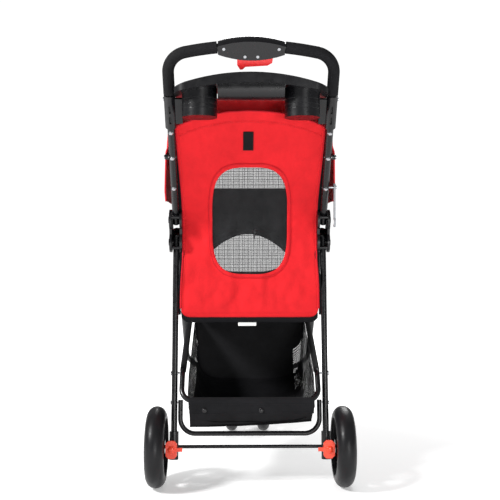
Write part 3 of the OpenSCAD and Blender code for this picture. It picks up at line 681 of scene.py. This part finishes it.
def make_label():
    low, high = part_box("blank_label")

    def point(u, v):
        x = low.x + (high.x - low.x) * u
        z = high.z + (low.z - high.z) * v
        return Vector((x, low.y - (1.2 + 1.6 * v * v + 0.5 * math.sin(5 * u)) * MM, z))
    label = grid_piece("blank_label_cloth", point, 24, 10, 0.5 * MM, [LABEL_CLOTH])
    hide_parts("blank_label")
    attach(label, "front_frame")


# ------------------------------------------------------------------ front and side panels

FRONT_FOOT_Y = (FRONT_HIGH.y - AXLE_Y) / MM
FRONT_TOP_Y = (FRONT_LOW.y - AXLE_Y) / MM
FRONT_FOOT_Z = FRONT_LOW.z / MM
FRONT_TOP_Z = FRONT_HIGH.z / MM


def folding_down(piece):
    """Cloth between the cabin's tub and the hood, held on the front frame with a mesh of its own."""
    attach(piece, "front_frame")
    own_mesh(piece)


def front_point(x, z, proud=0.0):
    run = (z - FRONT_FOOT_Z) / (FRONT_TOP_Z - FRONT_FOOT_Z)
    y = FRONT_FOOT_Y + (FRONT_TOP_Y - FRONT_FOOT_Y) * run
    bulge = 5 * math.sin(math.pi * run) * (1 - (x / 152) ** 2)
    return at(x, y - 2 + bulge + 1.5 * sway(x, z, 0, 40, 5.0) + proud, z)


def lower_arch(x):
    return 576 - 58 * (x / 112) ** 2


def lower_sill(x):
    return 466 + 34 * (abs(x) / 112) ** 4


def upper_arch(x):
    return 792 - 20 * (x / 126) ** 2


def front_mesh_cell(u, v):
    x, z = -150 + 300 * u, FRONT_FOOT_Z + (FRONT_TOP_Z - FRONT_FOOT_Z) * v
    if abs(x) < 112 and lower_sill(x) < z < lower_arch(x):
        return 1
    if abs(x) < 126 and 694 < z < upper_arch(x):
        return 1
    return 0


def make_front_panel():
    height = FRONT_TOP_Z - FRONT_FOOT_Z
    panel = grid_piece("front_panel_cloth", lambda u, v: front_point(-150 + 300 * u, FRONT_FOOT_Z + height * v),
                       100, 120, 0, [BLACK_CLOTH, FRONT_MESH], pick=front_mesh_cell)
    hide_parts("front_panel")
    folding_down(panel)
    lower = [(x, lower_arch(x)) for x in [112 - 224 * n / 50 for n in range(51)]]
    lower += [(x, lower_sill(x)) for x in [-112 + 224 * n / 50 for n in range(51)]]
    upper = [(x, upper_arch(x)) for x in [126 - 252 * n / 50 for n in range(51)]]
    upper += [(x, 694) for x in [-126 + 252 * n / 50 for n in range(51)]]
    loops = [even([front_point(x, z, 0.0) for x, z in loop], 120, True) for loop in (lower, upper)]
    edge = new_piece("front_window_binding", *tube_mesh(loops, 3.4 * MM, 8, True), BLACK_BINDING)
    folding_down(edge)
    zip_line = [front_point(x, 587 - 46 * (x / 126) ** 2, 1.0) for x in [-126 + 252 * n / 160 for n in range(161)]]
    teeth = stitching("front_zip", [zip_line], GLOSS_MOULDING, pitch=2.4 * MM, dash=1.5 * MM, radius=1.5 * MM)
    folding_down(teeth)
    puller = [front_point(18, 586 - 3.2 * n, -2.5) for n in range(9)]
    tab = new_piece("front_zip_pull", *tube_mesh([puller], 2.6 * MM, 8, False, 0.45), GREY_MOULDING)
    folding_down(tab)


def make_side_panels():
    for side, s in (("left", -1), ("right", 1)):
        low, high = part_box("side_panel_" + side)
        z0, z1 = low.z / MM, high.z / MM + 22

        def point(u, v, s=s):
            z = z0 + (z1 - z0) * v
            rear = panel_y(z) + 3
            run = (z - FRONT_FOOT_Z) / (FRONT_TOP_Z - FRONT_FOOT_Z)
            fore = FRONT_FOOT_Y + (FRONT_TOP_Y - FRONT_FOOT_Y) * run - 3
            swell = 5 * math.sin(math.pi * u) * math.sin(math.pi * v)
            swell += 2.0 * sway(rear + 300 * u, z, 0, 44, 2.0 + s)
            edge = smoothstep(0, 0.05, u) * smoothstep(1, 0.95, u)
            return at(s * (153.5 + swell * edge), rear + (fore - rear) * u, z)
        panel = grid_piece("side_mesh_" + side, point, 60, 50, 0, [SIDE_MESH])
        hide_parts("side_panel_" + side)
        folding_down(panel)
        seams = [[point(u, n / 40) for n in range(41)] for u in (0.0, 1.0)]
        seams.append([point(n / 60, 0.0) for n in range(61)])
        binding = new_piece("side_binding_" + side, *tube_mesh(seams, 2.2 * MM, 8), BLACK_BINDING)
        folding_down(binding)


def make_gussets():
    """Narrow strips of mesh from the panel's sides to the handle tubes."""
    for side, s in (("left", -1), ("right", 1)):
        def point(u, v, s=s):
            z = 600 + 204 * v
            x = panel_half(z) - 1.5 + (TUBE_X / MM - 0.5 - panel_half(z)) * u
            near = panel_y(z)
            return at(s * x, near + (handle_y(z) + 8.5 - near) * u + 0.6 * sway(z, x, 0, 12), z)
        gusset = grid_piece("gusset_" + side, point, 6, 50, 0.6 * MM, [BLACK_BINDING])
        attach(gusset, "handle")


# ------------------------------------------------------------------ cabin tub


def tub_loop(half_x, half_y, count=160):
    points = []
    for n in range(count):
        a = 2 * math.pi * n / count
        c, s = math.cos(a), math.sin(a)
        scale = (abs(c / half_x) ** 7 + abs(s / half_y) ** 7) ** (-1 / 7)
        points.append((c * scale, s * scale))
    return points


def make_tub():
    mid_y = ((TUB_LOW.y + TUB_HIGH.y) / 2 - AXLE_Y) / MM
    half_x, half_y = TUB_HIGH.x / MM - 1.5, (TUB_HIGH.y - TUB_LOW.y) / 2 / MM - 1.5
    z0, z1 = TUB_LOW.z / MM + 1.2, TUB_HIGH.z / MM
    loop = tub_loop(half_x, half_y)
    vertices, faces, count = [], [], len(loop)
    levels = [(k / 10, 0.0) for k in range(1, 10)] + [(0.97, 0.0), (0.995, 0.03)]
    levels += [(1.0, 0.07 + 0.93 * k / 12) for k in range(13)]
    for grow, up in levels:
        z = z0 + (z1 - z0) * up
        for x, y in loop:
            wall = 1.5 * math.sin(math.pi * up) * (0.4 + sway(x, y, z, 40, 4.0)) if up else 0
            scale = grow * (1 - wall / half_x)
            vertices.append(at(x * scale, mid_y + y * scale, z + (0.0 if up else 0.6 * sway(x, y, 0, 60))))
    for r in range(len(levels) - 1):
        for n in range(count):
            m = (n + 1) % count
            faces.append((r * count + n, r * count + m, (r + 1) * count + m, (r + 1) * count + n))
    faces.append(tuple(reversed(range(count))))
    tub = new_piece("tub_cloth", vertices, faces, BLACK_CLOTH)
    solid = tub.modifiers.new("thickness", "SOLIDIFY")
    solid.thickness = 2.4 * MM
    solid.offset = 0
    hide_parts("cabin_tub")
    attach(tub, "front_frame")
    rim = [at(x, mid_y + y, z1 - 1) for x, y in loop]
    hem = piping("tub_hem", rim, 3.0 * MM, BLACK_BINDING, True)
    foot = piping("tub_foot_piping", [at(x * 1.004, mid_y + y * 1.004, z0 + 3) for x, y in loop], 2.2 * MM,
                  BLACK_BINDING, True)
    rows = [[at(x * 1.011, mid_y + y * 1.009, z1 - 8) for x, y in loop],
            [at(x * 1.011, mid_y + y * 1.009, z0 + 10) for x, y in loop]]
    thread = stitching("tub_stitch", rows, BLACK_THREAD, closed=True)
    for piece in (hem, foot, thread):
        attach(piece, "front_frame")


PAD_SWELL = 6 * MM


def make_floor_pad():
    """A thin filled cushion: puffed out by PAD_SWELL, then quilted with two sewn channels."""
    low, high = PAD_LOW, PAD_HIGH
    middle, half = (low + high) / 2, (high - low) / 2
    loop = tub_loop(half.x / MM - 8, half.y / MM - 8, 96)
    vertices, faces, count = [], [], len(loop)
    for grow, up in [(0.25, -1), (0.5, -1), (0.75, -1), (0.97, -1), (1.0, -0.6), (1.0, 0.6), (0.97, 1), (0.75, 1),
                     (0.5, 1), (0.25, 1)]:
        for x, y in loop:
            vertices.append(middle + Vector((x * grow * MM, y * grow * MM, up * (half.z - 3.5 * MM))))
    rows = 10
    for r in range(rows - 1):
        for n in range(count):
            m = (n + 1) % count
            faces.append((r * count + n, r * count + m, (r + 1) * count + m, (r + 1) * count + n))
    faces.append(tuple(reversed(range(count))))
    faces.append(tuple((rows - 1) * count + n for n in range(count)))
    pad = new_piece("floor_cushion", vertices, faces, PAD_CLOTH)
    remesh = pad.modifiers.new("even", "REMESH")
    remesh.mode = "VOXEL"
    remesh.voxel_size = 6 * MM
    apply_modifiers(pad)
    swell(pad, 4.0, PAD_SWELL)
    for vertex in pad.data.vertices:
        x = (vertex.co.x - middle.x) / half.x
        y = (vertex.co.y - middle.y) / half.y
        edge = min(1.0, max(abs(x), abs(y)))
        seam = sum(math.exp(-((y - k) * half.y / (5 * MM)) ** 2) for k in (-0.34, 0.34))
        if vertex.co.z > middle.z:
            ripple = 0.5 * MM * sway(vertex.co.x / MM, vertex.co.y / MM, 0, 30)
            vertex.co.z -= 4.0 * MM * seam * (1 - edge ** 8) - ripple
        vertex.co.z = max(vertex.co.z, low.z)
        vertex.co.z = min(vertex.co.z, high.z + 3 * MM)
    pad.data.polygons.foreach_set("use_smooth", [True] * len(pad.data.polygons))
    rounder = pad.modifiers.new("soften", "SUBSURF")
    rounder.levels = rounder.render_levels = 1
    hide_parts("floor_pad")
    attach(pad, "front_frame")


def apply_modifiers(piece):
    graph = bpy.context.evaluated_depsgraph_get()
    mesh = bpy.data.meshes.new_from_object(piece.evaluated_get(graph), depsgraph=graph)
    piece.modifiers.clear()
    piece.data = mesh


def swell(piece, pressure, cap):
    """Blow the closed form up with Cloth, then cut each point's move to cap. The free form blows
    up far past cap, so Cloth gives each move's direction and cap gives its size."""
    start = [v.co.copy() for v in piece.data.vertices]
    cloth = piece.modifiers.new("swell", "CLOTH")
    cloth.settings.use_pressure = True
    cloth.settings.uniform_pressure_force = pressure
    cloth.settings.effector_weights.gravity = 0
    scene = bpy.context.scene
    for number in range(1, 21):
        scene.frame_set(number)
    apply_modifiers(piece)
    for vertex, first in zip(piece.data.vertices, start):
        move = vertex.co - first
        if move.length > cap:
            vertex.co = first + move * (cap / move.length)
    scene.frame_set(1)


# ------------------------------------------------------------------ hood

HOOD_HALF = HOOD_HIGH.x / MM
HOOD_FOOT_Z = HOOD_LOW.z / MM
HOOD_TOP_Z = HOOD_HIGH.z / MM
HOOD_FRONT_Y = (HOOD_HIGH.y - AXLE_Y) / MM
HOOD_SHOULDER_Z = HOOD_TOP_Z - 104


def hood_arch():
    """The hood's section as even (x, z) points: straight wings, then a square-shouldered arch."""
    side = [Vector((-HOOD_HALF + 1.5 * (1 - n / 10), 0, HOOD_FOOT_Z + (HOOD_SHOULDER_Z - HOOD_FOOT_Z) * n / 10))
            for n in range(10)]
    arch = []
    for n in range(121):
        a = math.pi * n / 120
        c, s = math.cos(a), math.sin(a)
        scale = (abs(c) ** 4 + abs(s) ** 4) ** -0.25
        arch.append(Vector((-HOOD_HALF * c * scale, 0, HOOD_SHOULDER_Z + 104 * s * scale)))
    return even(side + arch + [Vector((-p.x, 0, p.z)) for p in reversed(side)], 141)


HOOD_ARCH = hood_arch()


def hood_point(u, v, proud=0.0):
    place = min(u, 1.0) * (len(HOOD_ARCH) - 1)
    k = min(int(place), len(HOOD_ARCH) - 2)
    p = HOOD_ARCH[k].lerp(HOOD_ARCH[k + 1], place - k)
    x, z = p.x, p.z
    rear = max(handle_y(z) + 15, -79.0)
    fore = HOOD_FRONT_Y - 5 - 100 * smoothstep(735, HOOD_FOOT_Z - 5, z)
    y = rear + (fore - rear) * v
    top = smoothstep(HOOD_SHOULDER_Z - 20, HOOD_TOP_Z - 8, z)
    z = HOOD_FOOT_Z + (z - HOOD_FOOT_Z) * (1 - 0.07 * smoothstep(0.0, 0.95, v))
    z -= top * 8 * math.sin(math.pi * min(1.0, max(0.0, (v - 0.08) / 0.87)))
    gather = smoothstep(0.16, 0.0, v) * smoothstep(120, 74, abs(x)) * top
    z += gather * (19 + 2.0 * math.sin(x * 0.21) + 1.2 * math.sin(x * 0.47 + 1.0))
    y += gather * 3 * math.sin(x * 0.33 + 2.0)
    crease = (2.6 * sway(x, y * 0.5, z, 48, 6.0) + 1.2 * sway(x, y, z, 20, 9.0))
    crease *= smoothstep(0.0, 0.06, v) * smoothstep(1.0, 0.93, v)
    x -= math.copysign(crease - proud, x) * (1 - top)
    widest = (187.5 - 5 * smoothstep(750, 768, z)) * (1 + (y + 20) / 1500)
    x = math.copysign(min(abs(x), widest + proud), x)
    z += (crease + proud) * top
    return at(x, y, z)


def on_hood(piece):
    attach(piece, "handle")
    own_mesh(piece)


def make_hood():
    hood = grid_piece("hood_cloth", hood_point, 140, 70, 1.4 * MM, [RED_CLOTH])
    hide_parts("canopy")
    on_hood(hood)
    seam_u = (0.24, 0.76)
    cords = [[hood_point(u, n / 70, 1.2) for n in range(71)] for u in seam_u]
    cords.append([hood_point(n / 140, 1.0, 0.5) for n in range(141)])
    cords.append([hood_point(n / 140, 0.0, 0.5) for n in range(141)])
    edge = new_piece("hood_piping", *tube_mesh(cords, 2.0 * MM, 8), RED_TRIM)
    rows = [[hood_point(u + du, n / 70, 1.3) for n in range(71)] for u in seam_u for du in (-0.012, 0.012)]
    rows += [[hood_point(n / 140, v, 1.3) for n in range(141)] for v in (0.965, 0.93)]
    thread = stitching("hood_stitch", rows, RED_THREAD)
    for piece in (edge, thread):
        on_hood(piece)


# ------------------------------------------------------------------ basket

BAR_TUBE_R = 6
BAR_X = BAR_HIGH.x / MM - BAR_TUBE_R
BAR_LINE = [(-20, 197), (24, 252), (330, 364)]   # the basket tube in side view, y from the axle


def rail_z(y):
    (ya, za), (yb, zb), (yc, zc) = BAR_LINE
    if y < yb:
        return za + (y - ya) * (zb - za) / (yb - ya)
    return zb + (y - yb) * (zc - zb) / (yc - yb)


def basket_floor_z(y):
    floor = 146 + 14 * smoothstep(120, 220, y) + 34 * smoothstep(200, 296, y) + 190 * smoothstep(288, 336, y)
    return min(floor, rail_z(y) - 5)


def basket_point(u, v):
    y = -6 + 336 * v
    rim, floor = rail_z(y) - 3, basket_floor_z(y)
    a = (u - 0.5) * math.pi
    s, c = math.sin(a), math.cos(a)
    scale = (abs(s) ** 5 + abs(c) ** 5) ** -0.2
    deep = c * scale
    half = (BAR_X - 8 - 6 * deep) if u > 0.5 else (BAR_X - 14 - 3 * deep)
    loose = min(1.0, 2.5 * (1 - abs(s) ** 8) + 0.4)
    sag = 5 * deep * math.sin(math.pi * v) + 3.2 * sway(s * 150, y, deep * 90, 42, 1.5) * loose
    x = half * s * scale
    wall = 2.4 * sway(s * 90, y * 0.9, deep * 130, 28, 7.0) * (0.3 + deep)
    return at(x + math.copysign(wall, x), y, rim - (rim - floor) * deep - sag * 0.6)


def make_basket():
    shell = grid_piece("basket_shell", basket_point, 110, 90, 1.2 * MM, [BASKET_CLOTH, BASKET_NET],
                       pick=lambda u, v: 1 if (u > 0.74 or u < 0.2) and v < 0.93 else 0)
    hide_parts("basket")
    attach(shell, "front_frame")

    def rear_point(u, v):
        s = 2 * u - 1
        top, low = 197.0, 143.0
        half = (145 - 6 * v) if s > 0 else (137 - 1 * v)
        z = top - 4 + (low - top + 4 + 6 * s) * v
        y = -21 + 20 * v + 4 * math.sin(math.pi * v) * (1 - s * s)
        z -= 3 * (1 - s * s) * v
        return at(half * s, y + 1.8 * sway(s * 140, z, 0, 26, 2.5) * v, z)
    wall = grid_piece("basket_rear_wall", rear_point, 100, 30, 1.2 * MM, [BASKET_CLOTH])
    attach(wall, "front_frame")

    def band_point(u, v):
        """A strip folded over the rear tube: up its front, round its top, down its back."""
        s = 2 * u - 1
        half = (146 - 4 * v) if s > 0 else (138 - 2 * v)
        turn = v * 2.0
        if turn < 0.5:
            y, z = -12.4, 180 + 34 * turn
        elif turn < 1.0:
            a = math.pi * (turn - 0.5) * 2
            y, z = -20 + 7.6 * math.cos(a), 197 + 7.6 * math.sin(a)
        else:
            down = turn - 1.0
            y, z = -27.6 - 1.5 * down, 197 - 27 * down
        ripple = 1.3 * sway(s * 140, z, y, 30, 11.0) * (1 if turn >= 1.0 else 0.2) * min(1.0, turn)
        return at(half * s, y - abs(ripple), z + 1.5 * sway(s * 140, 0, 0, 40, 12.0) * smoothstep(1.0, 2.0, turn))
    band = grid_piece("basket_band", band_point, 110, 40, 1.4 * MM, [BASKET_BAND])
    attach(band, "front_frame")
    rows = [[band_point(n / 110, v) + Vector((0, -1.1 * MM, 0)) for n in range(111)] for v in (0.62, 0.95)]
    thread = stitching("basket_stitch", rows, BLACK_THREAD)
    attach(thread, "front_frame")
    for number, x in enumerate((-102, 24)):
        snap = dome("basket_snap_%d" % number, at(x, -30.5, 178), Vector((0, -1, 0.05)), 5.6 * MM, 2.6 * MM,
                    GLOSS_MOULDING)
        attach(snap, "front_frame")
    sleeves = []
    for s in (-1, 1):
        sleeves.append([at(s * (BAR_X - 0.4), y, rail_z(y) - 0.3) for y in [36 + 280 * n / 40 for n in range(41)]])
    sleeve = new_piece("basket_side_sleeves", *tube_mesh(sleeves, 7.4 * MM, 14), BASKET_BAND)
    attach(sleeve, "front_frame")
    hem = [rear_point(n / 80, 1.0) + Vector((0, -0.5 * MM, 0)) for n in range(81)]
    low_hem = piping("basket_low_hem", hem, 2.4 * MM, BLACK_BINDING)
    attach(low_hem, "front_frame")


# ------------------------------------------------------------------ brake pedals


def make_pedal_bosses():
    for side in ("left", "right"):
        low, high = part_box("brake_pedal_" + side)
        s = -1 if side == "left" else 1
        face = Vector((s * (TUBE_X + 2.5 * MM), low.y, (low.z + high.z) / 2))
        boss = dome("pedal_boss_" + side, face, Vector((0, -1, 0)), 8.5 * MM, 3.2 * MM, PEDAL_MOULDING)
        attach(boss, "brake_" + side)


# ------------------------------------------------------------------ room


def area_light(name, place, aim, size, power):
    data = bpy.data.lights.new(name, "AREA")
    data.shape = "DISK"
    data.size = size
    data.energy = power
    light = bpy.data.objects.new(name, data)
    bpy.context.scene.collection.objects.link(light)
    light.location = place
    light.rotation_euler = (Vector(aim) - Vector(place)).to_track_quat("-Z", "Y").to_euler()


def make_room():
    """A pale floor that fades into a white background, and three soft lights."""
    paint = Shader("floor_paint", (0.88, 0.88, 0.88), 0.9)
    spread = paint.node("ShaderNodeMapping")
    spread.inputs["Scale"].default_value = (0.35, 0.35, 0.35)
    paint.link(paint.coords, spread.inputs["Vector"])
    nearness = paint.node("ShaderNodeTexGradient", gradient_type="SPHERICAL")
    paint.link(spread.outputs["Vector"], nearness.inputs["Vector"])
    glow = paint.ramp(nearness.outputs["Fac"], [(0.35, (1, 1, 1, 1)), (0.82, (0.34, 0.34, 0.34, 1))])
    paint.link(glow, paint.bsdf.inputs["Emission Color"])
    paint.put("Emission Strength", 1.0)
    floor = new_piece("floor", [Vector((-6, -6, 0)), Vector((6, -6, 0)), Vector((6, 6, 0)), Vector((-6, 6, 0))],
                      [(0, 1, 2, 3)], paint.mat, smooth=False)
    world = bpy.data.worlds.new("room")
    world.use_nodes = True
    tree = world.node_tree
    soft = next(n for n in tree.nodes if n.type == "BACKGROUND")
    output = next(n for n in tree.nodes if n.type == "OUTPUT_WORLD")
    soft.inputs["Color"].default_value = (1.0, 1.0, 1.0, 1)
    soft.inputs["Strength"].default_value = 0.24
    white = tree.nodes.new("ShaderNodeBackground")
    white.inputs["Color"].default_value = (1, 1, 1, 1)
    white.inputs["Strength"].default_value = 1.05
    seen = tree.nodes.new("ShaderNodeLightPath")
    mixed = tree.nodes.new("ShaderNodeMixShader")
    tree.links.new(seen.outputs["Is Camera Ray"], mixed.inputs[0])
    tree.links.new(soft.outputs[0], mixed.inputs[1])
    tree.links.new(white.outputs[0], mixed.inputs[2])
    tree.links.new(mixed.outputs[0], output.inputs["Surface"])
    scene = bpy.context.scene
    scene.world = world
    scene.view_settings.view_transform = "Standard"
    area_light("key", (-2.3, -1.5, 2.3), (0, -0.1, 0.6), 0.7, 120)
    area_light("fill", (0.9, -2.9, 0.5), (0, 0, 0.7), 1.0, 24)
    area_light("back", (0.6, 2.4, 2.4), (0, 0, 0.6), 2.0, 70)


dress_cad_nodes()
make_rear_panel()
make_patch()
make_label()
make_front_panel()
make_side_panels()
make_gussets()
make_tub()
make_floor_pad()
make_hood()
make_basket()
make_pedal_bosses()
make_room()

bpy.context.view_layer.update()
